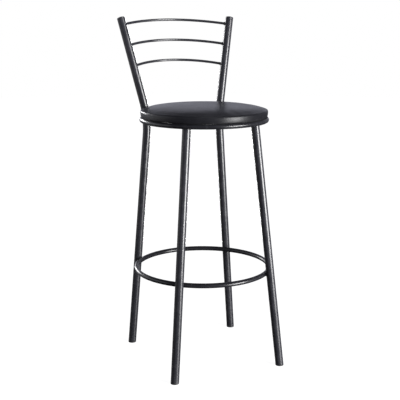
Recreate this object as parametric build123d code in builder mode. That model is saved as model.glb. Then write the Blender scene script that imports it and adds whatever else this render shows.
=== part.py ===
from build123d import *
import os
from math import asin, cos, degrees, radians, sin

os.makedirs("parts", exist_ok=True)

# Bar stool with footrest, in millimetres.
# +Z is up, the front faces -Y, and "left" is the -X side.
# The origin is on the floor, under the middle of the stool's bounding box.

# ---------------------------------------------------------------- driving dimensions

# Tubes and rods
leg_diameter = 25.4
leg_wall = 1.5
ring_diameter = 15.0
ring_wall = 1.5
rod_diameter = 8.0

# Rings: radius of the tube's centre line, and its height over the floor
seat_ring_radius = 191.1
seat_ring_height = 761.5
footrest_radius = 210.7
footrest_height = 291.0
footrest_back_of_seat = 10.2

# Front legs, straight: centre line at the floor and at the height of the seat ring
front_foot = (177.0, -187.0)
front_top = (110.3, -125.4)

# Rear legs: floor, corner at the seat, and the top of the back post
rear_foot = (182.3, 184.2, 0.0)
rear_corner = (124.5, 163.2, 751.7)
post_top = (189.1, 223.0, 1068.2)
rear_bend_radius = 309.0

# Back rods: height of their ends, depth of the backward bow, and how far it tips up
rod_heights = {"top": 1043.7, "middle": 979.0, "bottom": 914.3}
rod_bow = 66.2
rod_tip_up = 12.8

# Plastic ends
plug_height = 5.0
plug_edge = 1.5
cap_height = 4.0
cap_crown_radius = 30.0
cap_edge = 1.2
shank_length = 20.0
shank_clearance = 0.15

# Flat crossbars inside the seat ring, level with its top
crossbar_width = 30.0
crossbar_thickness = 5.0
crossbar_spacing = 250.6
crossbar_reach = 187.4

# Cushion
board_radius = 189.0
board_thickness = 12.0
cover_thickness = 1.2
cover_gap = 0.1
flap_inner_radius = 161.5
cushion_foot_radius = 191.4
cushion_waist_radius = 194.4
cushion_bulge_radius = 196.6
cushion_edge_radius = 193.8
cushion_waist_rise = 3.0
cushion_bulge_rise = 16.5
cushion_edge_rise = 20.8
cushion_crown_rise = 36.3

# M6 seat screws with washers and T-nuts
screw_diameter = 6.0
screw_length = 16.0
head_across_flats = 10.0
head_height = 4.0
washer_diameter = 12.0
washer_thickness = 1.6
screw_hole = 7.0
screw_spacing = 120.0
nut_flange_diameter = 19.0
nut_flange_thickness = 1.5
nut_barrel_diameter = 7.8
nut_barrel_length = 8.0
nut_hole = 8.0
fit_clearance = 0.05

# Staples that hold the cover to the board
staple_count = 48
staple_circle = 176.5
staple_crown = 10.0
staple_wire = 0.7
staple_leg = 6.0

# Weld beads
contact_bead = 6.7
rod_bead = 6.0
bar_bead = 2.9
leg_bead = 2.0

# ---------------------------------------------------------------- derived positions

leg_radius = leg_diameter / 2
ring_radius = ring_diameter / 2
rod_radius = rod_diameter / 2

sides = {"left": -1, "right": 1}

# Height along the back post as a share of its length gives the rods' ends
post_rise = post_top[2] - rear_corner[2]


def post_point(height):
    """Centre of the back post at a height, for the right side, from the seat's axis."""
    share = (height - rear_corner[2]) / post_rise
    return tuple(low + share * (high - low) for low, high in zip(rear_corner, post_top))


# The bowed top rod is the rearmost point and the footrest ring the foremost one.
rearmost = post_point(rod_heights["top"])[1] + rod_bow * cos(radians(rod_tip_up)) + rod_radius
foremost = footrest_back_of_seat - footrest_radius - ring_radius
seat_y = -(rearmost + foremost) / 2


def place(x, y, z):
    """A point measured from the seat's axis at floor level, in the stool's own frame."""
    return Vector(x, y + seat_y, z)


def level(height, back=0.0):
    """A horizontal plane at a height, centred on the seat's axis or set back from it."""
    return Plane(origin=place(0, back, height))


seat_axis = Axis(place(0, 0, 0), (0, 0, 1))
footrest_centre = place(0, footrest_back_of_seat, footrest_height)

ring_top = seat_ring_height + ring_radius
crossbar_bottom = ring_top - crossbar_thickness
cushion_bottom = ring_top + cover_gap
board_bottom = cushion_bottom + cover_thickness
board_top = board_bottom + board_thickness


def front_leg_ends(side):
    """Floor point and ring-height point of a front leg's centre line."""
    foot = place(side * front_foot[0], front_foot[1], 0)
    top = place(side * front_top[0], front_top[1], seat_ring_height)
    return foot, top


def rear_leg_points(side):
    """Floor point, corner and post top of a rear leg's centre line."""
    return [place(side * x, y, z) for x, y, z in (rear_foot, rear_corner, post_top)]


def foot_plane(side, end):
    """Plane across a leg at the floor, with its normal up along the leg."""
    if end == "front":
        foot, top = front_leg_ends(side)
    else:
        foot, top = rear_leg_points(side)[:2]
    return Plane(origin=foot, z_dir=top - foot)


def straight_bar(side, diameter):
    """Solid round bar along a front leg, longer than the leg at both ends."""
    foot, top = front_leg_ends(side)
    with BuildPart() as bar:
        with BuildSketch(foot_plane(side, "front").offset(-leg_diameter)):
            Circle(diameter / 2)
        extrude(amount=(top - foot).length + 2 * leg_diameter)
    return bar.part


def bent_bar(side, diameter):
    """Solid round bar along a rear leg and its back post, longer than the leg at the floor."""
    foot, corner, top = rear_leg_points(side)
    up = (corner - foot).normalized()
    post_end = top - (top - corner).normalized() * cap_height
    with BuildPart() as bar:
        with BuildLine() as path:
            FilletPolyline(foot - up * leg_diameter, corner, post_end, radius=rear_bend_radius)
        with BuildSketch(Plane(origin=path.line @ 0, z_dir=path.line % 0)):
            Circle(diameter / 2)
        sweep()
    return bar.part


def ring_bar(centre, radius, diameter):
    """Solid round ring about a vertical axis."""
    with BuildPart() as bar:
        with BuildSketch(Plane(origin=centre, x_dir=(1, 0, 0), z_dir=(0, -1, 0))):
            with Locations((radius, 0)):
                Circle(diameter / 2)
        revolve(axis=Axis(centre, (0, 0, 1)))
    return bar.part


def save(part, name):
    """Label one finished piece and write it as its own STEP file."""
    part.label = name
    export_step(part, f"parts/{name}.step")


# Outer shapes of the tubes, without their bores, to cut neighbours and welds against
front_solids = {name: straight_bar(side, leg_diameter) for name, side in sides.items()}
rear_solids = {name: bent_bar(side, leg_diameter) for name, side in sides.items()}
seat_ring_centre = place(0, 0, seat_ring_height)
seat_ring_solid = ring_bar(seat_ring_centre, seat_ring_radius, ring_diameter)
footrest_solid = ring_bar(footrest_centre, footrest_radius, ring_diameter)

# ---------------------------------------------------------------- legs

for name, side in sides.items():
    # Straight tube, cut level above its plug and under the front crossbar
    with BuildPart() as front_leg:
        add(front_solids[name])
        add(straight_bar(side, leg_diameter - 2 * leg_wall), mode=Mode.SUBTRACT)
        split(bisect_by=Plane.XY.offset(plug_height), keep=Keep.TOP)
        split(bisect_by=Plane.XY.offset(crossbar_bottom), keep=Keep.BOTTOM)
    save(front_leg.part, f"front_leg_{name}")

    # One bent tube: the leg, and the back post above the seat
    with BuildPart() as rear_leg:
        add(rear_solids[name])
        add(bent_bar(side, leg_diameter - 2 * leg_wall), mode=Mode.SUBTRACT)
        split(bisect_by=Plane.XY.offset(plug_height), keep=Keep.TOP)
    save(rear_leg.part, f"rear_leg_{name}")

# ---------------------------------------------------------------- plastic foot plugs

for end in ("front", "rear"):
    for name, side in sides.items():
        across = foot_plane(side, end)
        with BuildPart() as foot_plug:
            # Level disc under the tube's end, with a rounded edge on the floor
            with BuildSketch(across):
                Circle(leg_radius)
            extrude(amount=leg_diameter, both=True)
            split(bisect_by=Plane.XY, keep=Keep.TOP)
            split(bisect_by=Plane.XY.offset(plug_height), keep=Keep.BOTTOM)
            fillet(foot_plug.edges().sort_by(Axis.Z)[0], radius=plug_edge)
            # Shank that grips inside the tube
            with BuildSketch(across.offset(plug_height / 2)):
                Circle(leg_radius - leg_wall - shank_clearance)
            extrude(amount=shank_length)
        save(foot_plug.part, f"foot_plug_{end}_{name}")

# ---------------------------------------------------------------- plastic post caps

for name, side in sides.items():
    foot, corner, top = rear_leg_points(side)
    post_direction = (top - corner).normalized()
    post_end = Plane(origin=top - post_direction * cap_height, z_dir=post_direction)
    with BuildPart(post_end) as post_cap:
        # Crowned head, as wide as the post
        Cylinder(leg_radius, cap_height, align=(Align.CENTER, Align.CENTER, Align.MIN))
        with Locations((0, 0, cap_height - cap_crown_radius)):
            Sphere(cap_crown_radius, mode=Mode.INTERSECT)
        up_post = Axis(post_end.origin, post_direction)
        rim = post_cap.edges().filter_by(lambda edge: edge.is_closed).sort_by(up_post)[-1]
        fillet(rim, radius=cap_edge)
        # Shank that grips inside the post
        cap_shank_radius = leg_radius - leg_wall - shank_clearance
        Cylinder(cap_shank_radius, shank_length, align=(Align.CENTER, Align.CENTER, Align.MAX))
    save(post_cap.part, f"post_cap_{name}")

# ---------------------------------------------------------------- rings

# Each ring is a rolled tube, dimpled slightly where a leg bears on it.
with BuildPart() as seat_ring:
    add(seat_ring_solid)
    add(ring_bar(seat_ring_centre, seat_ring_radius, ring_diameter - 2 * ring_wall), mode=Mode.SUBTRACT)
    add(rear_solids.values(), mode=Mode.SUBTRACT)
save(seat_ring.part, "seat_ring")

with BuildPart() as footrest_ring:
    add(footrest_solid)
    add(ring_bar(footrest_centre, footrest_radius, ring_diameter - 2 * ring_wall), mode=Mode.SUBTRACT)
    add(rear_solids.values(), mode=Mode.SUBTRACT)
    add(front_solids.values(), mode=Mode.SUBTRACT)
save(footrest_ring.part, "footrest_ring")

# ---------------------------------------------------------------- back rods

# Solid rods between the posts, bowed backward, with their ends coped to the posts
rod_ends = []
for name, height in rod_heights.items():
    end_x, end_y, end_z = post_point(height)
    left_end = place(-end_x, end_y, end_z)
    right_end = place(end_x, end_y, end_z)
    bow_y = end_y + rod_bow * cos(radians(rod_tip_up))
    bow_z = end_z + rod_bow * sin(radians(rod_tip_up))
    with BuildPart() as back_rod:
        with BuildLine():
            bow = ThreePointArc(left_end, place(0, bow_y, bow_z), right_end)
        with BuildSketch(Plane(origin=bow @ 0, z_dir=bow % 0)):
            Circle(rod_radius)
        sweep()
        rod_solid = back_rod.part
        add(rear_solids.values(), mode=Mode.SUBTRACT)
    save(back_rod.part, f"back_rod_{name}")
    end_share = leg_radius / bow.length
    rod_ends.append((rod_solid, (bow @ end_share, bow @ (1 - end_share))))

# ---------------------------------------------------------------- crossbars

screw_points = [(x, y) for y in (-crossbar_spacing / 2, crossbar_spacing / 2)
                for x in (-screw_spacing / 2, screw_spacing / 2)]

for end, facing in (("front", -1), ("rear", 1)):
    bar_plane = level(crossbar_bottom, facing * crossbar_spacing / 2)
    with BuildPart() as crossbar:
        with BuildSketch(bar_plane):
            Rectangle(2 * crossbar_reach, crossbar_width)
        extrude(amount=crossbar_thickness)
        # Trim both ends to the inside of the seat ring
        with BuildSketch(level(crossbar_bottom)):
            Circle(crossbar_reach)
        extrude(amount=crossbar_thickness, mode=Mode.INTERSECT)
        add(seat_ring_solid, mode=Mode.SUBTRACT)
        with BuildSketch(bar_plane):
            with GridLocations(screw_spacing, 0, 2, 1):
                Circle(screw_hole / 2)
        extrude(amount=crossbar_thickness, mode=Mode.SUBTRACT)
    save(crossbar.part, f"crossbar_{end}")

# ---------------------------------------------------------------- cushion


def screw_circles(diameter):
    """Sketch circles at the four seat screws, on a plane whose origin is the seat's axis."""
    with Locations(*screw_points):
        Circle(diameter / 2)


def cushion_outline(inset=0.0):
    """Outline of half the cushion's section, drawn in from its outer surface by an inset."""
    foot = Line((0, inset), (cushion_foot_radius, inset))
    turn = RadiusArc(foot @ 1, (cushion_waist_radius - inset, cushion_waist_rise),
                     inset - cushion_waist_rise)
    side = Line(turn @ 1, (cushion_bulge_radius - inset, cushion_bulge_rise))
    shoulder_top = (cushion_edge_radius - inset / 2, cushion_edge_rise - inset)
    shoulder = TangentArc(side @ 1, shoulder_top, tangent=side % 1)
    crown = Spline(shoulder @ 1, (0, cushion_crown_rise - inset),
                   tangents=(shoulder % 1, (-1, 0)), tangent_scalars=(0.3, 1.0))
    Line(crown @ 1, (0, inset))


staple_angles = []
for i in range(staple_count):
    angle = 360 * i / staple_count
    across, along = staple_circle * sin(radians(angle)), staple_circle * cos(radians(angle))
    over_bar = abs(abs(across) - crossbar_spacing / 2) < (crossbar_width + staple_crown) / 2
    if not over_bar:
        staple_angles.append(angle)

# Staples: a flat crown against the cover's flap and two legs up into the board
with BuildPart() as cover_staples:
    for angle in staple_angles:
        radial = Vector(cos(radians(angle)), sin(radians(angle)), 0)
        spot = place(0, 0, cushion_bottom) + radial * staple_circle
        staple_plane = Plane(origin=spot, x_dir=(-radial.Y, radial.X, 0), z_dir=(0, 0, 1))
        with BuildSketch(staple_plane):
            Rectangle(staple_crown, staple_wire)
        extrude(amount=-staple_wire)
        with BuildSketch(staple_plane):
            with GridLocations(staple_crown - staple_wire, 0, 2, 1):
                Rectangle(staple_wire, staple_wire)
        extrude(amount=staple_leg)
save(cover_staples.part, "cover_staples")

# Plywood board, counterbored from above for the T-nuts
with BuildPart() as seat_board:
    with BuildSketch(level(board_bottom)):
        Circle(board_radius)
    extrude(amount=board_thickness)
    with BuildSketch(level(board_bottom)):
        screw_circles(nut_hole)
    extrude(amount=board_thickness, mode=Mode.SUBTRACT)
    with BuildSketch(level(board_top)):
        screw_circles(nut_flange_diameter + 2 * shank_clearance)
    extrude(amount=-nut_flange_thickness, mode=Mode.SUBTRACT)
    add(cover_staples.part, mode=Mode.SUBTRACT)
save(seat_board.part, "seat_board")

section_plane = Plane(origin=place(0, 0, cushion_bottom), x_dir=(1, 0, 0), z_dir=(0, -1, 0))

# Everything inside the cover
with BuildPart() as filling:
    with BuildSketch(section_plane):
        with BuildLine():
            cushion_outline(cover_thickness)
        make_face()
    revolve(axis=seat_axis)

# Vinyl cover: over the top and sides, and turned in under the board
with BuildPart() as seat_cover:
    with BuildSketch(section_plane):
        with BuildLine():
            cushion_outline()
        make_face()
    revolve(axis=seat_axis)
    add(filling.part, mode=Mode.SUBTRACT)
    with BuildSketch(level(cushion_bottom)):
        Circle(flap_inner_radius)
    extrude(amount=cover_thickness, mode=Mode.SUBTRACT)
    add(cover_staples.part, mode=Mode.SUBTRACT)
save(seat_cover.part, "seat_cover")

# Foam pad on the board, drawn down over the board's edge by the cover
with BuildPart() as seat_foam:
    add(filling.part)
    with BuildSketch(level(board_bottom)):
        Circle(board_radius)
    extrude(amount=board_thickness, mode=Mode.SUBTRACT)
save(seat_foam.part, "seat_foam")

# ---------------------------------------------------------------- seat screws

washer_bottom = crossbar_bottom - washer_thickness

with BuildPart() as seat_washers:
    with BuildSketch(level(washer_bottom)):
        screw_circles(washer_diameter)
        with Locations(*screw_points):
            Circle(screw_diameter / 2 + shank_clearance, mode=Mode.SUBTRACT)
    extrude(amount=washer_thickness)
save(seat_washers.part, "seat_washers")

with BuildPart() as seat_screws:
    with BuildSketch(level(washer_bottom)):
        with Locations(*screw_points):
            RegularPolygon(head_across_flats / 2, 6, major_radius=False)
    extrude(amount=-head_height)
    with BuildSketch(level(washer_bottom)):
        screw_circles(screw_diameter)
    extrude(amount=screw_length)
save(seat_screws.part, "seat_screws")

with BuildPart() as seat_tee_nuts:
    with BuildSketch(level(board_top - nut_flange_thickness)):
        screw_circles(nut_flange_diameter)
    extrude(amount=nut_flange_thickness)
    with BuildSketch(level(board_top - nut_flange_thickness)):
        screw_circles(nut_barrel_diameter)
    extrude(amount=-nut_barrel_length)
    with BuildSketch(level(board_top)):
        screw_circles(screw_diameter + 2 * fit_clearance)
    extrude(amount=-nut_flange_thickness - nut_barrel_length, mode=Mode.SUBTRACT)
save(seat_tee_nuts.part, "seat_tee_nuts")

# ---------------------------------------------------------------- weld beads


def contact_point(leg_point, leg_direction, centre, radius):
    """Point of a ring's centre line that lies nearest to a leg, at the ring's height."""
    at_height = leg_point + leg_direction * ((centre.Z - leg_point.Z) / leg_direction.Z)
    outward = Vector(at_height.X - centre.X, at_height.Y - centre.Y, 0).normalized()
    return centre + outward * (radius + ring_radius)


# Footrest ring to the four legs: a bead that fills the groove round each contact
with BuildPart() as footrest_welds:
    for name, side in sides.items():
        for foot, upper in (front_leg_ends(side), rear_leg_points(side)[:2]):
            spot = contact_point(foot, (upper - foot).normalized(), footrest_centre, footrest_radius)
            with Locations(spot):
                Sphere(contact_bead)
    add(footrest_solid, mode=Mode.SUBTRACT)
    add(front_solids.values(), mode=Mode.SUBTRACT)
    add(rear_solids.values(), mode=Mode.SUBTRACT)
save(footrest_welds.part, "footrest_welds")

# Seat ring to the two rear legs
with BuildPart() as seat_ring_welds:
    for name, side in sides.items():
        foot, corner, top = rear_leg_points(side)
        spot = contact_point(corner, (corner - foot).normalized(), seat_ring_centre, seat_ring_radius)
        with Locations(spot):
            Sphere(contact_bead)
    add(seat_ring_solid, mode=Mode.SUBTRACT)
    add(rear_solids.values(), mode=Mode.SUBTRACT)
    split(bisect_by=Plane.XY.offset(ring_top), keep=Keep.BOTTOM)
save(seat_ring_welds.part, "seat_ring_welds")

# Back rods to the posts
with BuildPart() as back_rod_welds:
    for rod_solid, ends in rod_ends:
        for spot in ends:
            with Locations(spot):
                Sphere(rod_bead)
    for rod_solid, ends in rod_ends:
        add(rod_solid, mode=Mode.SUBTRACT)
    add(rear_solids.values(), mode=Mode.SUBTRACT)
save(back_rod_welds.part, "back_rod_welds")

# Crossbar ends to the seat ring, along the corner under each bar
bead_circle = crossbar_reach - bar_bead
near_angle = degrees(asin((crossbar_spacing - crossbar_width) / 2 / bead_circle))
far_angle = degrees(asin((crossbar_spacing + crossbar_width) / 2 / bead_circle))
with BuildPart() as crossbar_welds:
    for quarter_start in (near_angle, 180 - far_angle, 180 + near_angle, 360 - far_angle):
        radial = Vector(cos(radians(quarter_start)), sin(radians(quarter_start)), 0)
        bead_plane = Plane(origin=place(0, 0, crossbar_bottom), x_dir=radial,
                           z_dir=(radial.Y, -radial.X, 0))
        with BuildSketch(bead_plane):
            with Locations((bead_circle, 0)):
                Circle(bar_bead)
        revolve(axis=seat_axis, revolution_arc=far_angle - near_angle)
    add(seat_ring_solid, mode=Mode.SUBTRACT)
    split(bisect_by=Plane.XY.offset(crossbar_bottom), keep=Keep.BOTTOM)
save(crossbar_welds.part, "crossbar_welds")

# Front legs to the front crossbar, round each leg's top
with BuildPart() as leg_top_welds:
    for name, side in sides.items():
        foot, top = front_leg_ends(side)
        along = (top - foot) * (crossbar_bottom / (top - foot).Z)
        with Locations(foot + along):
            Torus(leg_radius, leg_bead)
    add(front_solids.values(), mode=Mode.SUBTRACT)
    split(bisect_by=Plane.XY.offset(crossbar_bottom), keep=Keep.BOTTOM)
save(leg_top_welds.part, "leg_top_welds")
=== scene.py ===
import math

import bmesh
import bpy
import numpy as np
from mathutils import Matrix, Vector, kdtree, noise


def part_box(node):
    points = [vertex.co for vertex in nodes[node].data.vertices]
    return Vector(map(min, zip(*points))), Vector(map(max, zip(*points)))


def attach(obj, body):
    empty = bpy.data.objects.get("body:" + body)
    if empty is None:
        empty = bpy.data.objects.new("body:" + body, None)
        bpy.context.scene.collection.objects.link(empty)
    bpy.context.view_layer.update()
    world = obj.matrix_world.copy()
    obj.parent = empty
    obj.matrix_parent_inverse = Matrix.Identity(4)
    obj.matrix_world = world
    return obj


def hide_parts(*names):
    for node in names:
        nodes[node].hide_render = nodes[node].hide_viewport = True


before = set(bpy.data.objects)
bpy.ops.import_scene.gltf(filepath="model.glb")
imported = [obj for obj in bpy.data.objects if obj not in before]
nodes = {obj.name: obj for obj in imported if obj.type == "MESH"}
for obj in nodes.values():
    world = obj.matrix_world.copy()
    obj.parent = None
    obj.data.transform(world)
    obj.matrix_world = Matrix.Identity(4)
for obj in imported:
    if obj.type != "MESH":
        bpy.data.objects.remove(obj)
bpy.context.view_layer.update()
scene = bpy.context.scene


# ---------------------------------------------------------------- measures from the frame

def middle(node):
    low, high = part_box(node)
    return (low + high) / 2


seat_axis = middle("seat_ring")
cover_low, cover_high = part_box("seat_cover")
cover_bottom = cover_low.z
cover_top = cover_high.z


# ---------------------------------------------------------------- camera

# Azimuths start at the stool's front and grow to the right. The camera stands to the front left,
# and looks slightly down, past the seat's axis.
CAMERA_AZIMUTH = math.radians(-23.741)
CAMERA_DISTANCE = 2.6559
CAMERA_HEIGHT = 1.0787
CAMERA_YAW = math.radians(-23.464)
CAMERA_PITCH = math.radians(-12.140)
CAMERA_LENS = 78.10
CAMERA_SENSOR = 36.0

camera = bpy.data.objects.new("camera", bpy.data.cameras.new("camera"))
scene.collection.objects.link(camera)
camera.data.sensor_width = CAMERA_SENSOR
camera.data.lens = CAMERA_LENS
camera.data.clip_start = 0.05
camera.data.clip_end = 60.0
camera.location = (
    seat_axis.x + math.sin(CAMERA_AZIMUTH) * CAMERA_DISTANCE,
    seat_axis.y - math.cos(CAMERA_AZIMUTH) * CAMERA_DISTANCE,
    CAMERA_HEIGHT,
)
camera.rotation_euler = (math.radians(90) + CAMERA_PITCH, 0.0, CAMERA_YAW)
scene.camera = camera
scene.view_settings.view_transform = "Standard"


# ---------------------------------------------------------------- node helpers

class Nodes:
    """A material's node tree with short calls for the nodes used here."""

    def __init__(self, name):
        self.material = bpy.data.materials.new(name)
        self.material.use_nodes = True
        self.tree = self.material.node_tree
        self.tree.nodes.clear()
        self.output = self.tree.nodes.new("ShaderNodeOutputMaterial")
        self.shader = self.tree.nodes.new("ShaderNodeBsdfPrincipled")
        self.link(self.shader.outputs["BSDF"], self.output.inputs["Surface"])
        self.position = self.tree.nodes.new("ShaderNodeTexCoord").outputs["Object"]

    def link(self, a, b):
        self.tree.links.new(a, b)

    def feed(self, socket, value):
        if isinstance(value, bpy.types.NodeSocket):
            self.link(value, socket)
        else:
            socket.default_value = value

    def set(self, **values):
        for key, value in values.items():
            self.feed(self.shader.inputs[key.replace("_", " ")], value)

    def noise(self, scale, detail=3.0, rough=0.5, vector=None, distortion=0.0):
        node = self.tree.nodes.new("ShaderNodeTexNoise")
        node.inputs["Scale"].default_value = scale
        node.inputs["Detail"].default_value = detail
        node.inputs["Roughness"].default_value = rough
        node.inputs["Distortion"].default_value = distortion
        self.link(vector or self.position, node.inputs["Vector"])
        return node.outputs["Fac"]

    def cells(self, scale, feature="F1", randomness=1.0):
        node = self.tree.nodes.new("ShaderNodeTexVoronoi")
        node.feature = feature
        node.inputs["Scale"].default_value = scale
        node.inputs["Randomness"].default_value = randomness
        self.link(self.position, node.inputs["Vector"])
        return node.outputs["Distance"]

    def stretched(self, x, y, z):
        node = self.tree.nodes.new("ShaderNodeMapping")
        node.inputs["Scale"].default_value = (x, y, z)
        self.link(self.position, node.inputs["Vector"])
        return node.outputs["Vector"]

    def ramp(self, value, low, high, to_low=0.0, to_high=1.0):
        node = self.tree.nodes.new("ShaderNodeMapRange")
        node.inputs["From Min"].default_value = low
        node.inputs["From Max"].default_value = high
        node.inputs["To Min"].default_value = to_low
        node.inputs["To Max"].default_value = to_high
        node.interpolation_type = "SMOOTHSTEP"
        self.link(value, node.inputs["Value"])
        return node.outputs["Result"]

    def math(self, operation, a, b=0.0):
        node = self.tree.nodes.new("ShaderNodeMath")
        node.operation = operation
        self.feed(node.inputs[0], a)
        self.feed(node.inputs[1], b)
        return node.outputs["Value"]

    def mix(self, factor, a, b):
        node = self.tree.nodes.new("ShaderNodeMix")
        node.data_type = "RGBA"
        self.feed(node.inputs["Factor"], factor)
        self.feed(node.inputs["A"], a)
        self.feed(node.inputs["B"], b)
        return node.outputs["Result"]

    def split(self):
        node = self.tree.nodes.new("ShaderNodeSeparateXYZ")
        self.link(self.position, node.inputs["Vector"])
        return node.outputs["X"], node.outputs["Y"], node.outputs["Z"]

    def bump(self, height, distance, strength=1.0, below=None):
        node = self.tree.nodes.new("ShaderNodeBump")
        node.inputs["Distance"].default_value = distance
        node.inputs["Strength"].default_value = strength
        self.link(height, node.inputs["Height"])
        if below is not None:
            self.link(below, node.inputs["Normal"])
        return node.outputs["Normal"]


def rgba(red, green, blue):
    return (red, green, blue, 1.0)


def dress(material, *names):
    """Gives CAD nodes one material, in place of any that their meshes had."""
    for name in names:
        data = nodes[name].data
        data.materials.clear()
        data.materials.append(material)


# ---------------------------------------------------------------- materials

# Noise and cell scales are features per metre. Heights and bump distances are metres.
COAT_GLOSS = 0.42
ORANGE_PEEL = 420.0
WELD_RIPPLES = 420.0
SCUFF_HEIGHT = 0.16

# The coat turns dull between these depths under the cushion, and the vinyl between these rises
# over its underside turns dull and darker as painted shade, so that no light glints in the crease
# between them
DULL_COAT_FROM = 0.0016
DULL_COAT_TO = 0.0004
DULL_SHADED_VINYL_FROM = 0.0014
DULL_SHADED_VINYL_TO = 0.0042
CROWN_WEAR_DEPTH = 0.012


def powder_coat(name, peel=1.0, roughness=0.26, covered=None):
    """Gloss black powder coat: orange peel, faint mottling, dust and rubbed spots low down.

    Where another piece rests on it, from just below the height covered, the coat is dull.
    """
    n = Nodes(name)
    height = n.split()[2]
    mottle = n.noise(38.0, 4.0)
    low_down = n.ramp(height, 0.0, SCUFF_HEIGHT, 1.0, 0.0)
    specks = n.ramp(n.noise(ORANGE_PEEL, 2.0), 0.66, 0.74)
    scuffs = n.math("MULTIPLY", n.ramp(n.noise(75.0, 5.0, 0.7), 0.56, 0.70), low_down)
    dark = rgba(0.0135, 0.0135, 0.0165)
    light = rgba(0.0180, 0.0180, 0.0215)
    dusty = rgba(0.040, 0.039, 0.038)
    colour = n.mix(n.ramp(mottle, 0.35, 0.65), dark, light)
    colour = n.mix(n.math("MULTIPLY", scuffs, 0.45), colour, dusty)
    colour = n.mix(n.math("MULTIPLY", specks, 0.10), colour, dusty)
    uneven = n.math("MULTIPLY", n.ramp(mottle, 0.3, 0.7), 0.07)
    rubbed = n.math("MULTIPLY", scuffs, 0.16)
    orange = n.bump(n.noise(ORANGE_PEEL, 2.0), 0.00005 * peel, 0.12)
    grain = n.bump(n.noise(2600.0, 1.0), 0.00002, 0.08, below=orange)
    worn = n.math("ADD", n.math("ADD", uneven, rubbed), roughness - 0.035)
    if covered is not None:
        under = n.ramp(height, covered - DULL_COAT_FROM, covered - DULL_COAT_TO)
        worn = n.math("ADD", worn, n.math("MULTIPLY", under, 0.5))
    n.set(Base_Color=colour, Roughness=worn, Normal=grain)
    n.shader.inputs["IOR"].default_value = 1.45
    n.shader.inputs["Specular IOR Level"].default_value = COAT_GLOSS
    return n.material


def weld_paint(name):
    """The same coat over weld beads, with the beads' ripples under it."""
    n = Nodes(name)
    ripple = n.cells(WELD_RIPPLES, randomness=0.7)
    lumps = n.noise(160.0, 3.0, 0.6)
    shade = n.mix(n.ramp(lumps, 0.3, 0.7), rgba(0.007, 0.007, 0.009), rgba(0.014, 0.014, 0.017))
    coarse = n.bump(lumps, 0.0009, 0.5)
    n.set(
        Base_Color=shade,
        Roughness=n.ramp(ripple, 0.0, 0.6, 0.30, 0.40),
        Normal=n.bump(ripple, 0.0005, 0.5, below=coarse),
    )
    n.shader.inputs["Specular IOR Level"].default_value = COAT_GLOSS
    return n.material


def plastic(name, tone, roughness, wear_height):
    """Black moulded plastic: fine spark-eroded grain, scratched most of all below wear_height."""
    n = Nodes(name)
    height = n.split()[2]
    grain = n.noise(1500.0, 2.0)
    scratches = n.ramp(n.noise(90.0, 6.0, 0.75, n.stretched(1.0, 6.0, 2.0)), 0.60, 0.70)
    worn = n.math("MULTIPLY", scratches, n.ramp(height, 0.0, wear_height, 1.0, 0.25))
    colour = n.mix(
        n.ramp(n.noise(130.0), 0.3, 0.7),
        rgba(0.010 * tone, 0.010 * tone, 0.011 * tone),
        rgba(0.016 * tone, 0.016 * tone, 0.0175 * tone),
    )
    colour = n.mix(n.math("MULTIPLY", worn, 0.5), colour, rgba(0.070, 0.068, 0.065))
    n.set(
        Base_Color=colour,
        Roughness=n.math("ADD", n.math("MULTIPLY", grain, 0.12), roughness - 0.06),
        Normal=n.bump(grain, 0.00010, 0.35),
    )
    n.shader.inputs["Specular IOR Level"].default_value = 0.45
    return n.material


def vinyl(name):
    """Black upholstery vinyl: pebbled grain, fine creases, wear on the crown, dull low down.

    The crease lines and the low edge are darkened in colour as painted shade.
    """
    n = Nodes(name)
    pebble = n.cells(900.0)
    crease = n.cells(330.0, feature="DISTANCE_TO_EDGE")
    drift = n.noise(9.0, 3.0)
    cloud = n.noise(55.0, 4.0)
    colour = n.mix(
        n.ramp(cloud, 0.3, 0.7), rgba(0.0160, 0.0160, 0.0195), rgba(0.0205, 0.0205, 0.0245)
    )
    # Painted shade: the crease lines are darkened in colour, and made a little rougher
    crease_shade = n.ramp(crease, 0.0, 0.10, 1.0, 0.0)
    colour = n.mix(n.math("MULTIPLY", crease_shade, 0.35), colour, rgba(0.006, 0.006, 0.007))
    height = n.split()[2]
    crown = n.ramp(height, cover_top - CROWN_WEAR_DEPTH, cover_top - 0.001)
    polished = n.math("MULTIPLY", n.ramp(drift, 0.40, 0.62), crown)
    roughness = n.math("ADD", n.math("MULTIPLY", cloud, 0.08), 0.295)
    roughness = n.math("SUBTRACT", roughness, n.math("MULTIPLY", polished, 0.03))
    tucked_from = cover_bottom + DULL_SHADED_VINYL_FROM
    tucked_to = cover_bottom + DULL_SHADED_VINYL_TO
    # Painted shade: the vinyl's colour darkens towards its underside over the seat ring, and it
    # turns rougher
    tucked_shade = n.ramp(height, tucked_from, tucked_to, 1.0, 0.0)
    roughness = n.math("ADD", roughness, n.math("MULTIPLY", tucked_shade, 0.45))
    colour = n.mix(n.math("MULTIPLY", tucked_shade, 0.6), colour, rgba(0.006, 0.006, 0.007))
    leather = n.bump(crease, 0.00030, 0.30)
    n.set(
        Base_Color=colour,
        Roughness=n.math("ADD", roughness, n.math("MULTIPLY", crease_shade, 0.05)),
        Normal=n.bump(pebble, 0.00012, 0.22, below=leather),
    )
    n.shader.inputs["Specular IOR Level"].default_value = 0.30
    return n.material


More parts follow.
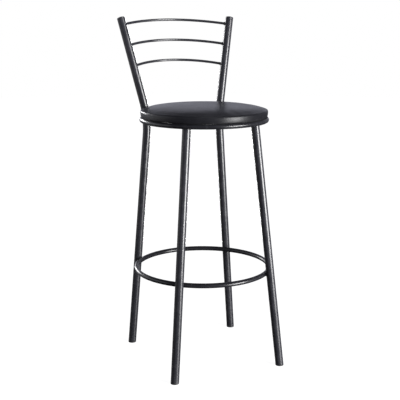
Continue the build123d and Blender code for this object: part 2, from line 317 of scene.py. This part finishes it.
def plywood(name):
    """Birch plywood: grain and pores on the faces, thin plies round the edge."""
    n = Nodes(name)
    grain = n.noise(26.0, 6.0, 0.6, n.stretched(1.0, 0.08, 1.0), 1.2)
    pores = n.ramp(n.noise(900.0, 2.0, 0.5, n.stretched(1.0, 0.05, 1.0)), 0.60, 0.72)
    plies = n.tree.nodes.new("ShaderNodeTexWave")
    plies.bands_direction = "Z"
    plies.inputs["Scale"].default_value = 130.0
    plies.inputs["Distortion"].default_value = 0.4
    n.link(n.position, plies.inputs["Vector"])
    colour = n.mix(
        n.ramp(grain, 0.35, 0.65), rgba(0.47, 0.31, 0.17), rgba(0.66, 0.49, 0.31)
    )
    colour = n.mix(n.math("MULTIPLY", pores, 0.5), colour, rgba(0.24, 0.14, 0.07))
    colour = n.mix(n.math("MULTIPLY", plies.outputs["Fac"], 0.18), colour, rgba(0.30, 0.19, 0.10))
    n.set(
        Base_Color=colour,
        Roughness=n.ramp(grain, 0.3, 0.7, 0.58, 0.74),
        Normal=n.bump(pores, 0.0002, 0.4),
    )
    return n.material


def plated(name, colour, roughness, tint):
    """Plated steel: bright, brushed by handling, with a few dull spots."""
    n = Nodes(name)
    brush = n.noise(700.0, 3.0, 0.6, n.stretched(1.0, 1.0, 0.15))
    spots = n.ramp(n.noise(260.0, 4.0), 0.58, 0.70)
    n.set(
        Base_Color=n.mix(n.math("MULTIPLY", spots, 0.5), colour, tint),
        Roughness=n.math("ADD", n.math("MULTIPLY", brush, 0.14), roughness),
        Normal=n.bump(brush, 0.00008, 0.25),
    )
    n.shader.inputs["Metallic"].default_value = 1.0
    return n.material


paint = powder_coat("black_powder_coat")
ring_coat = powder_coat("black_ring_coat", covered=cover_bottom)
rod_coat = powder_coat("black_rod_coat", peel=0.7, roughness=0.24)
beads = weld_paint("coated_weld")
cap_black = plastic("cap_plastic", 1.15, 0.34, 0.001)
plug_black = plastic("plug_plastic", 1.0, 0.52, 0.006)
black_vinyl = vinyl("black_vinyl")
birch = plywood("birch_plywood")
zinc = plated("zinc_plate", rgba(0.62, 0.63, 0.65), 0.24, rgba(0.40, 0.41, 0.42))
wire = plated("staple_wire", rgba(0.52, 0.53, 0.55), 0.30, rgba(0.34, 0.33, 0.32))

dress(
    paint,
    "front_leg_left", "front_leg_right", "rear_leg_left", "rear_leg_right",
    "footrest_ring", "crossbar_front", "crossbar_rear",
)
dress(ring_coat, "seat_ring")
dress(rod_coat, "back_rod_top", "back_rod_middle", "back_rod_bottom")
dress(
    beads,
    "footrest_welds", "seat_ring_welds", "back_rod_welds", "crossbar_welds", "leg_top_welds",
)
dress(cap_black, "post_cap_left", "post_cap_right")
dress(
    plug_black,
    "foot_plug_front_left", "foot_plug_front_right",
    "foot_plug_rear_left", "foot_plug_rear_right",
)
dress(birch, "seat_board")
dress(zinc, "seat_screws", "seat_washers", "seat_tee_nuts")
dress(wire, "cover_staples")


# ---------------------------------------------------------------- cushion

# Side of the padded cover, as radius from the seat's axis and rise over the cover's underside,
# in metres: the crown's edge, the band's top, the waist above the seat ring, and the foot where
# the cover turns in under the board, with the corner that each curve between them rounds.
EDGE = Vector((0.1925, 0.0225))
SHOULDER_CORNER = Vector((0.1965, 0.0216))
BAND_TOP = Vector((0.1965, 0.0165))
BAND_LEAN = Vector((0.1964, 0.0095))
WAIST = Vector((0.1946, 0.0030))
FOOT_CORNER = Vector((0.1939, -0.0002))
FOOT = Vector((0.1905, -0.0002))
CROWN = cover_top - cover_bottom - EDGE.y
CROWN_POWER = 4.0
CROWN_RINGS = 46
CURVE_STEPS = 12
FLAP_STEPS = 8
FLAP_INNER = 0.1617
FLAP_RISE = 0.0001
FLAP_FOLD = 0.0006
COVER_THICKNESS = 0.0012
SEGMENTS = 384

# Swelling: the pad starts a little smaller than the cover, and no point moves further than the cap
SWELL_FRAMES = 20
SWELL_CAP = 0.0012
SWELL_VOXEL = 0.006
SWELL_START = 0.992
SWELL_LOWEST = 0.0005
SWELL_FLAP_END = 0.18
POLE_RADIUS = 0.004
HELD_RISE = 0.003
NEAR_POINTS = 36
NEAR_REACH = 0.008

# Details of the sewn cover: long and short waves on the crown, the seam at the shoulder with a
# roll and puckers beside it, lumps in the band, and the flap's pleats
WAVES = ((11.0, 0.00018), (34.0, 0.00012))
SEAM_RADIUS = 0.1958
SEAM_RISE = 0.0203
SEAM_WIDTH = 0.0008
SEAM_DEPTH = 0.00075
ROLL_PLACE = 0.0022
ROLL_WIDTH = 0.0012
ROLL_HEIGHT = 0.00016
PUCKERS = 96
PUCKER_REACH = 0.0050
PUCKER_HEIGHT = 0.00010
AXIS_CLEARANCE = 0.002
WAVES_FROM = 0.020
WAVES_BLEND = 0.004
BAND_MIDDLE = 0.010
BAND_REACH = 0.006
BAND_LUMPS = 0.00022
PLEAT_START = FOOT.x - 0.0065
PLEAT_HEIGHT = 0.0007


def crown_height(radius):
    """Rise of the crown at a radius: nearly level in the middle, steeper towards its edge."""
    return EDGE.y + CROWN * (1.0 - (radius / EDGE.x) ** CROWN_POWER)


def curve(start, corner, end, steps):
    """Points of the curve that leaves start towards a corner and comes to end from it."""
    points = []
    for i in range(1, steps + 1):
        t = i / steps
        points.append(start * (1 - t) ** 2 + corner * 2 * t * (1 - t) + end * t ** 2)
    return points


def outline():
    """Points of the cover's outer side from near the axis to the flap's inner edge."""
    points = []
    for i in range(CROWN_RINGS):
        radius = EDGE.x * ((i + 1) / CROWN_RINGS) ** 0.8
        points.append(Vector((radius, crown_height(radius))))
    points += curve(EDGE, SHOULDER_CORNER, BAND_TOP, CURVE_STEPS)
    points += curve(BAND_TOP, BAND_LEAN, WAIST, CURVE_STEPS)
    points += curve(WAIST, FOOT_CORNER, FOOT, FLAP_STEPS)
    inner = Vector((FLAP_INNER, FLAP_RISE))
    points += [FOOT.lerp(inner, i / FLAP_STEPS) for i in range(1, FLAP_STEPS + 1)]
    points.append(Vector((FLAP_INNER - 0.0002, FLAP_FOLD)))
    points.append(Vector((FLAP_INNER, COVER_THICKNESS)))
    return points


def lathe(name, points, segments, closed=True):
    """Turns an outline about the seat's axis, with a pole at the top and, if closed, at the end."""
    made = bmesh.new()
    rings = []
    for radius, rise in points:
        ring = []
        for i in range(segments):
            angle = 2 * math.pi * i / segments
            ring.append(made.verts.new((
                seat_axis.x + radius * math.cos(angle),
                seat_axis.y + radius * math.sin(angle),
                cover_bottom + rise,
            )))
        rings.append(ring)
    for upper, lower in zip(rings, rings[1:]):
        for i in range(segments):
            j = (i + 1) % segments
            made.faces.new((upper[i], lower[i], lower[j], upper[j]))
    top = made.verts.new((seat_axis.x, seat_axis.y, cover_bottom + crown_height(0.0)))
    for i in range(segments):
        made.faces.new((top, rings[0][i], rings[0][(i + 1) % segments]))
    if closed:
        rise = points[-1][1]
        base = made.verts.new((seat_axis.x, seat_axis.y, cover_bottom + rise))
        for i in range(segments):
            made.faces.new((base, rings[-1][(i + 1) % segments], rings[-1][i]))
    bmesh.ops.recalc_face_normals(made, faces=made.faces)
    mesh = bpy.data.meshes.new(name)
    made.to_mesh(mesh)
    made.free()
    piece = bpy.data.objects.new(name, mesh)
    scene.collection.objects.link(piece)
    return piece


def vertices(piece):
    data = np.zeros(len(piece.data.vertices) * 3, np.float32)
    piece.data.vertices.foreach_get("co", data)
    return data.reshape(-1, 3).astype(float)


def put_vertices(piece, places):
    piece.data.vertices.foreach_set("co", places.astype(np.float32).ravel())
    piece.data.update()


def swelling():
    """Inflates a remeshed copy of the pad and returns its rest points with how far each moved."""
    body = []
    for radius, rise in outline():
        started = radius * SWELL_START
        if (rise > 0.0002 or radius > SWELL_FLAP_END) and started > POLE_RADIUS:
            body.append((started, max(rise, SWELL_LOWEST)))
    copy = lathe("pad_copy", body, SEGMENTS // 4)
    bpy.context.view_layer.objects.active = copy
    remesh = copy.modifiers.new("remesh", "REMESH")
    remesh.mode = "VOXEL"
    remesh.voxel_size = SWELL_VOXEL
    bpy.ops.object.modifier_apply(modifier=remesh.name)
    rest = vertices(copy)
    held = copy.vertex_groups.new(name="held")
    low = [i for i, p in enumerate(rest) if p[2] < cover_bottom + HELD_RISE]
    held.add(low, 1.0, "REPLACE")
    cloth = copy.modifiers.new("cloth", "CLOTH")
    cloth.settings.quality = 6
    cloth.settings.mass = 0.4
    cloth.settings.tension_stiffness = 40
    cloth.settings.compression_stiffness = 40
    cloth.settings.shear_stiffness = 20
    cloth.settings.bending_stiffness = 4
    cloth.settings.use_pressure = True
    cloth.settings.uniform_pressure_force = 4
    cloth.settings.vertex_group_mass = "held"
    cloth.settings.effector_weights.gravity = 0
    cloth.collision_settings.use_collision = False
    cloth.collision_settings.use_self_collision = False
    cloth.point_cache.frame_start = 1
    cloth.point_cache.frame_end = SWELL_FRAMES
    for step in range(1, SWELL_FRAMES + 1):
        scene.frame_set(step)
    shown = copy.evaluated_get(bpy.context.evaluated_depsgraph_get())
    moved = np.array([v.co for v in shown.data.vertices], float) - rest
    scene.frame_set(1)
    bpy.data.objects.remove(copy)
    length = np.linalg.norm(moved, axis=1)
    share = np.minimum(1.0, SWELL_CAP / np.maximum(length, 1e-9))
    return rest, moved * share[:, None]


def puff(piece, rest, moved):
    """Carries the swelling over to a finer mesh, as a smooth average of nearby points."""
    tree = kdtree.KDTree(len(rest))
    for i, p in enumerate(rest):
        tree.insert(p, i)
    tree.balance()
    places = vertices(piece)
    for i, p in enumerate(places):
        near = tree.find_n(p, NEAR_POINTS)
        total = 0.0
        shift = np.zeros(3)
        for _, index, distance in near:
            weight = 1.0 / (NEAR_REACH + distance) ** 2
            shift += moved[index] * weight
            total += weight
        places[i] = p + shift / total
    put_vertices(piece, places)


def bell(distance, width):
    """1 at no distance, falling smoothly to nothing a few widths away."""
    return math.exp(-(distance / width) ** 2)


def around(angle, scale, height):
    """Noise that goes round the seat without a step where the angle starts again."""
    return noise.noise(Vector((math.cos(angle) * scale, math.sin(angle) * scale, height)))


def soften(piece):
    """Small unevenness of a stretched cover: seam groove, puckers, slight hollows and pleats."""
    places = vertices(piece)
    for i, (x, y, z) in enumerate(places):
        dx = x - seat_axis.x
        dy = y - seat_axis.y
        radius = math.hypot(dx, dy)
        if radius < AXIS_CLEARANCE:
            continue
        rise = z - cover_bottom
        angle = math.atan2(dy, dx)
        outward = Vector((dx / radius, dy / radius, 0.0))
        point = Vector((x, y, z))
        wave = sum(noise.noise(point * scale) * height for scale, height in WAVES)
        z += wave * min(1.0, max(0.0, (rise - WAVES_FROM) / WAVES_BLEND))
        away = math.hypot(radius - SEAM_RADIUS, rise - SEAM_RISE)
        tug = 0.5 + 0.5 * around(angle, 6.0, 3.1)
        pucker = math.sin(angle * PUCKERS + 3.0 * tug) * bell(away, PUCKER_REACH) * PUCKER_HEIGHT
        groove = bell(away, SEAM_WIDTH) * -SEAM_DEPTH
        roll = bell(away - ROLL_PLACE, ROLL_WIDTH) * ROLL_HEIGHT
        push = groove + roll + pucker
        slant = (outward * 0.8 + Vector((0, 0, 0.6))) * push
        band = bell(rise - BAND_MIDDLE, BAND_REACH) if radius > 0.19 else 0.0
        lumps = outward * (around(angle, 2.6, rise * 40) * BAND_LUMPS * band)
        places[i] = (x + slant.x + lumps.x, y + slant.y + lumps.y, z + slant.z)
        if rise < 0.0015 and radius < PLEAT_START:
            inward = (PLEAT_START - radius) / (PLEAT_START - FLAP_INNER)
            fold = max(0.0, around(angle, 21.0, 0.7)) ** 1.5
            places[i][2] = z + fold * PLEAT_HEIGHT * min(1.0, inward * 1.6)
    put_vertices(piece, places)


cushion = lathe("cushion", outline(), SEGMENTS, closed=False)
rest_points, movement = swelling()
puff(cushion, rest_points, movement)
soften(cushion)
cushion.data.materials.append(black_vinyl)
for polygon in cushion.data.polygons:
    polygon.use_smooth = True
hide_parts("seat_cover", "seat_foam")
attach(cushion, "root")


# ---------------------------------------------------------------- studio

def toward(azimuth, distance, height):
    """A point at an azimuth from the seat's axis: 0 is the front, positive to the right."""
    return Vector((
        seat_axis.x + math.sin(math.radians(azimuth)) * distance,
        seat_axis.y - math.cos(math.radians(azimuth)) * distance,
        height,
    ))


def group(name, members):
    """A collection of objects for a light to be linked to."""
    collection = bpy.data.collections.new(name)
    for member in members:
        collection.objects.link(member)
    return collection


def softbox(name, place, aim_height, width, height, radiance, receivers):
    """A soft rectangular light that faces the stool and lights one group of its pieces."""
    light = bpy.data.lights.new(name, "AREA")
    light.shape = "RECTANGLE"
    light.size = width
    light.size_y = height
    light.energy = radiance * width * height * math.pi
    lamp = bpy.data.objects.new(name, light)
    scene.collection.objects.link(lamp)
    lamp.location = place
    aim = Vector((seat_axis.x, seat_axis.y, aim_height))
    lamp.rotation_euler = (place - aim).to_track_quat("Z", "Y").to_euler()
    lamp.visible_camera = False
    lamp.light_linking.receiver_collection = receivers


# Floor: a wide round sheet of pale studio board, clear from below
FLOOR_RADIUS = 9.0
FLOOR_DROP = 0.0002
GLOW_START = 0.8
GLOW_END = 3.0
GLOW_AT_STOOL = 0.935

floor_mesh = bpy.data.meshes.new("floor")
disc = bmesh.new()
bmesh.ops.create_circle(disc, cap_ends=True, segments=96, radius=FLOOR_RADIUS)
disc.to_mesh(floor_mesh)
disc.free()
floor = bpy.data.objects.new("floor", floor_mesh)
scene.collection.objects.link(floor)
floor.location = (seat_axis.x, seat_axis.y, -FLOOR_DROP)
board = Nodes("pale_floor")
tone = board.noise(3.0, 4.0)
board.set(
    Base_Color=board.mix(tone, rgba(0.030, 0.030, 0.031), rgba(0.034, 0.034, 0.035)),
    Roughness=board.ramp(tone, 0.3, 0.7, 0.28, 0.32),
    Normal=board.bump(board.noise(220.0, 3.0), 0.0004, 0.05),
)


def board_node(kind, **values):
    node = board.tree.nodes.new(kind)
    for key, value in values.items():
        board.feed(node.inputs[key], value)
    return node


def board_mix(factor, first, second):
    node = board_node("ShaderNodeMixShader", Fac=factor)
    board.link(first, node.inputs[1])
    board.link(second, node.inputs[2])
    return node.outputs["Shader"]


# Seen directly it is a matte board that brightens to white away from the stool, which hides its
# far edge. For every other ray it is a dark, glossy one.
away = board.tree.nodes.new("ShaderNodeVectorMath")
away.operation = "LENGTH"
board.link(board.position, away.inputs["Vector"])
whitening = board.ramp(away.outputs["Value"], GLOW_START, GLOW_END, GLOW_AT_STOOL, 1.0)
glow = board_node("ShaderNodeEmission", Strength=whitening)
matte = board_node(
    "ShaderNodeBsdfDiffuse",
    Color=board.mix(tone, rgba(0.110, 0.110, 0.110), rgba(0.130, 0.130, 0.130)),
)
pale = board_node("ShaderNodeAddShader")
board.link(glow.outputs["Emission"], pale.inputs[0])
board.link(matte.outputs["BSDF"], pale.inputs[1])
direct = board.tree.nodes.new("ShaderNodeLightPath").outputs["Is Camera Ray"]
underneath = board.tree.nodes.new("ShaderNodeNewGeometry").outputs["Backfacing"]
clear = board.tree.nodes.new("ShaderNodeBsdfTransparent").outputs["BSDF"]
above = board_mix(direct, board.shader.outputs["BSDF"], pale.outputs["Shader"])
board.link(board_mix(underneath, above, clear), board.output.inputs["Surface"])
floor.data.materials.append(board.material)

# Lights: panels to the front right, with smaller or dimmer ones to the rear left that draw upper
# edges. The frame, the cushion and each ring have a pair of their own, because their highlights
# lie at different heights. A strip behind lights the legs only, a panel high in front the seat
# only, and a wide fill on the left lights everything.
FRONT_RIGHT = 33.0
FRONT_DISTANCE = 2.3
REAR_LEFT = -162.0
REAR_DISTANCE = 2.6
SEAT_PIECES = ("seat_board", "seat_foam", "seat_cover", "cover_staples")
RINGS = ("seat_ring", "footrest_ring")

others = [nodes[name] for name in nodes if name not in SEAT_PIECES + RINGS]
frame_lit = group("frame_lit", others + [floor])
seat_lit = group("seat_lit", [nodes[name] for name in SEAT_PIECES] + [cushion])
legs_lit = group("legs_lit", [nodes[name] for name in nodes if "_leg_" in name])
softbox(
    "right_panel", toward(FRONT_RIGHT, FRONT_DISTANCE, 0.90), aim_height=0.90,
    width=1.15, height=1.74, radiance=36.0, receivers=frame_lit,
)
softbox(
    "right_low_panel", toward(FRONT_RIGHT - 2.0, FRONT_DISTANCE, 0.40), aim_height=0.40,
    width=0.95, height=0.76, radiance=26.0, receivers=seat_lit,
)
softbox(
    "rear_left_panel", toward(REAR_LEFT, REAR_DISTANCE, 1.55), aim_height=0.75,
    width=0.90, height=1.10, radiance=12.0, receivers=frame_lit,
)
softbox(
    "rear_left_small", toward(REAR_LEFT + 2.0, REAR_DISTANCE, 1.04), aim_height=0.80,
    width=0.80, height=0.36, radiance=26.0, receivers=seat_lit,
)
softbox(
    "left_fill", toward(-115.0, 2.5, 0.95), aim_height=0.95,
    width=3.20, height=1.80, radiance=0.75, receivers=None,
)
softbox(
    "rear_strip", toward(156.3, 1.3, 0.65), aim_height=0.65,
    width=0.24, height=1.30, radiance=30.0, receivers=legs_lit,
)
softbox(
    "high_front_panel", toward(0.0, 1.0, 3.0), aim_height=cover_top,
    width=1.20, height=1.20, radiance=3.0, receivers=seat_lit,
)
for ring in RINGS:
    level = middle(ring).z
    ring_lit = group(ring + "_lit", [nodes[ring]])
    softbox(
        ring + "_panel", toward(FRONT_RIGHT, FRONT_DISTANCE, level + 0.06), aim_height=level + 0.06,
        width=1.15, height=0.68, radiance=40.0, receivers=ring_lit,
    )
    softbox(
        ring + "_rear_panel", toward(REAR_LEFT - 1.0, REAR_DISTANCE, level + 0.55),
        aim_height=level + 0.10, width=1.30, height=0.60, radiance=15.0, receivers=ring_lit,
    )

# Surroundings: white seen directly. For light, a bright horizon under a dim ceiling, dimmer to the
# front and dimmest to the right.
world = bpy.data.worlds.new("studio")
scene.world = world
world.use_nodes = True
sky = world.node_tree
sky.nodes.clear()


def sky_node(kind, **values):
    node = sky.nodes.new(kind)
    for key, value in values.items():
        node.inputs[key].default_value = value
    return node


def sky_ramp(value, low, high, to_low, to_high):
    ends = {"From Min": low, "From Max": high, "To Min": to_low, "To Max": to_high}
    node = sky_node("ShaderNodeMapRange", **ends)
    sky.links.new(value, node.inputs["Value"])
    return node


def sky_product(first, second):
    node = sky_node("ShaderNodeMath")
    node.operation = "MULTIPLY"
    sky.links.new(first.outputs[0], node.inputs[0])
    sky.links.new(second.outputs[0], node.inputs[1])
    return node


direction = sky.nodes.new("ShaderNodeTexCoord").outputs["Generated"]
parts = sky_node("ShaderNodeSeparateXYZ")
sky.links.new(direction, parts.inputs["Vector"])
horizon = sky_ramp(parts.outputs["Z"], 0.24, 0.58, 0.72, 0.15)
horizon.interpolation_type = "SMOOTHSTEP"
backdrop = sky_ramp(parts.outputs["Y"], -0.2, 0.6, 0.60, 1.0)
right_side = sky_ramp(parts.outputs["X"], 0.45, 0.80, 1.0, 0.35)
strength = sky_product(horizon, sky_product(right_side, backdrop))
lighting = sky_node("ShaderNodeBackground", Color=rgba(0.90, 0.91, 1.06))
sky.links.new(strength.outputs["Value"], lighting.inputs["Strength"])
seen = sky_node("ShaderNodeBackground", Color=rgba(1.0, 1.0, 1.0), Strength=1.0)
choice = sky.nodes.new("ShaderNodeMixShader")
sky.links.new(sky.nodes.new("ShaderNodeLightPath").outputs["Is Camera Ray"], choice.inputs["Fac"])
sky.links.new(lighting.outputs["Background"], choice.inputs[1])
sky.links.new(seen.outputs["Background"], choice.inputs[2])
sky.links.new(
    choice.outputs["Shader"], sky.nodes.new("ShaderNodeOutputWorld").inputs["Surface"]
)
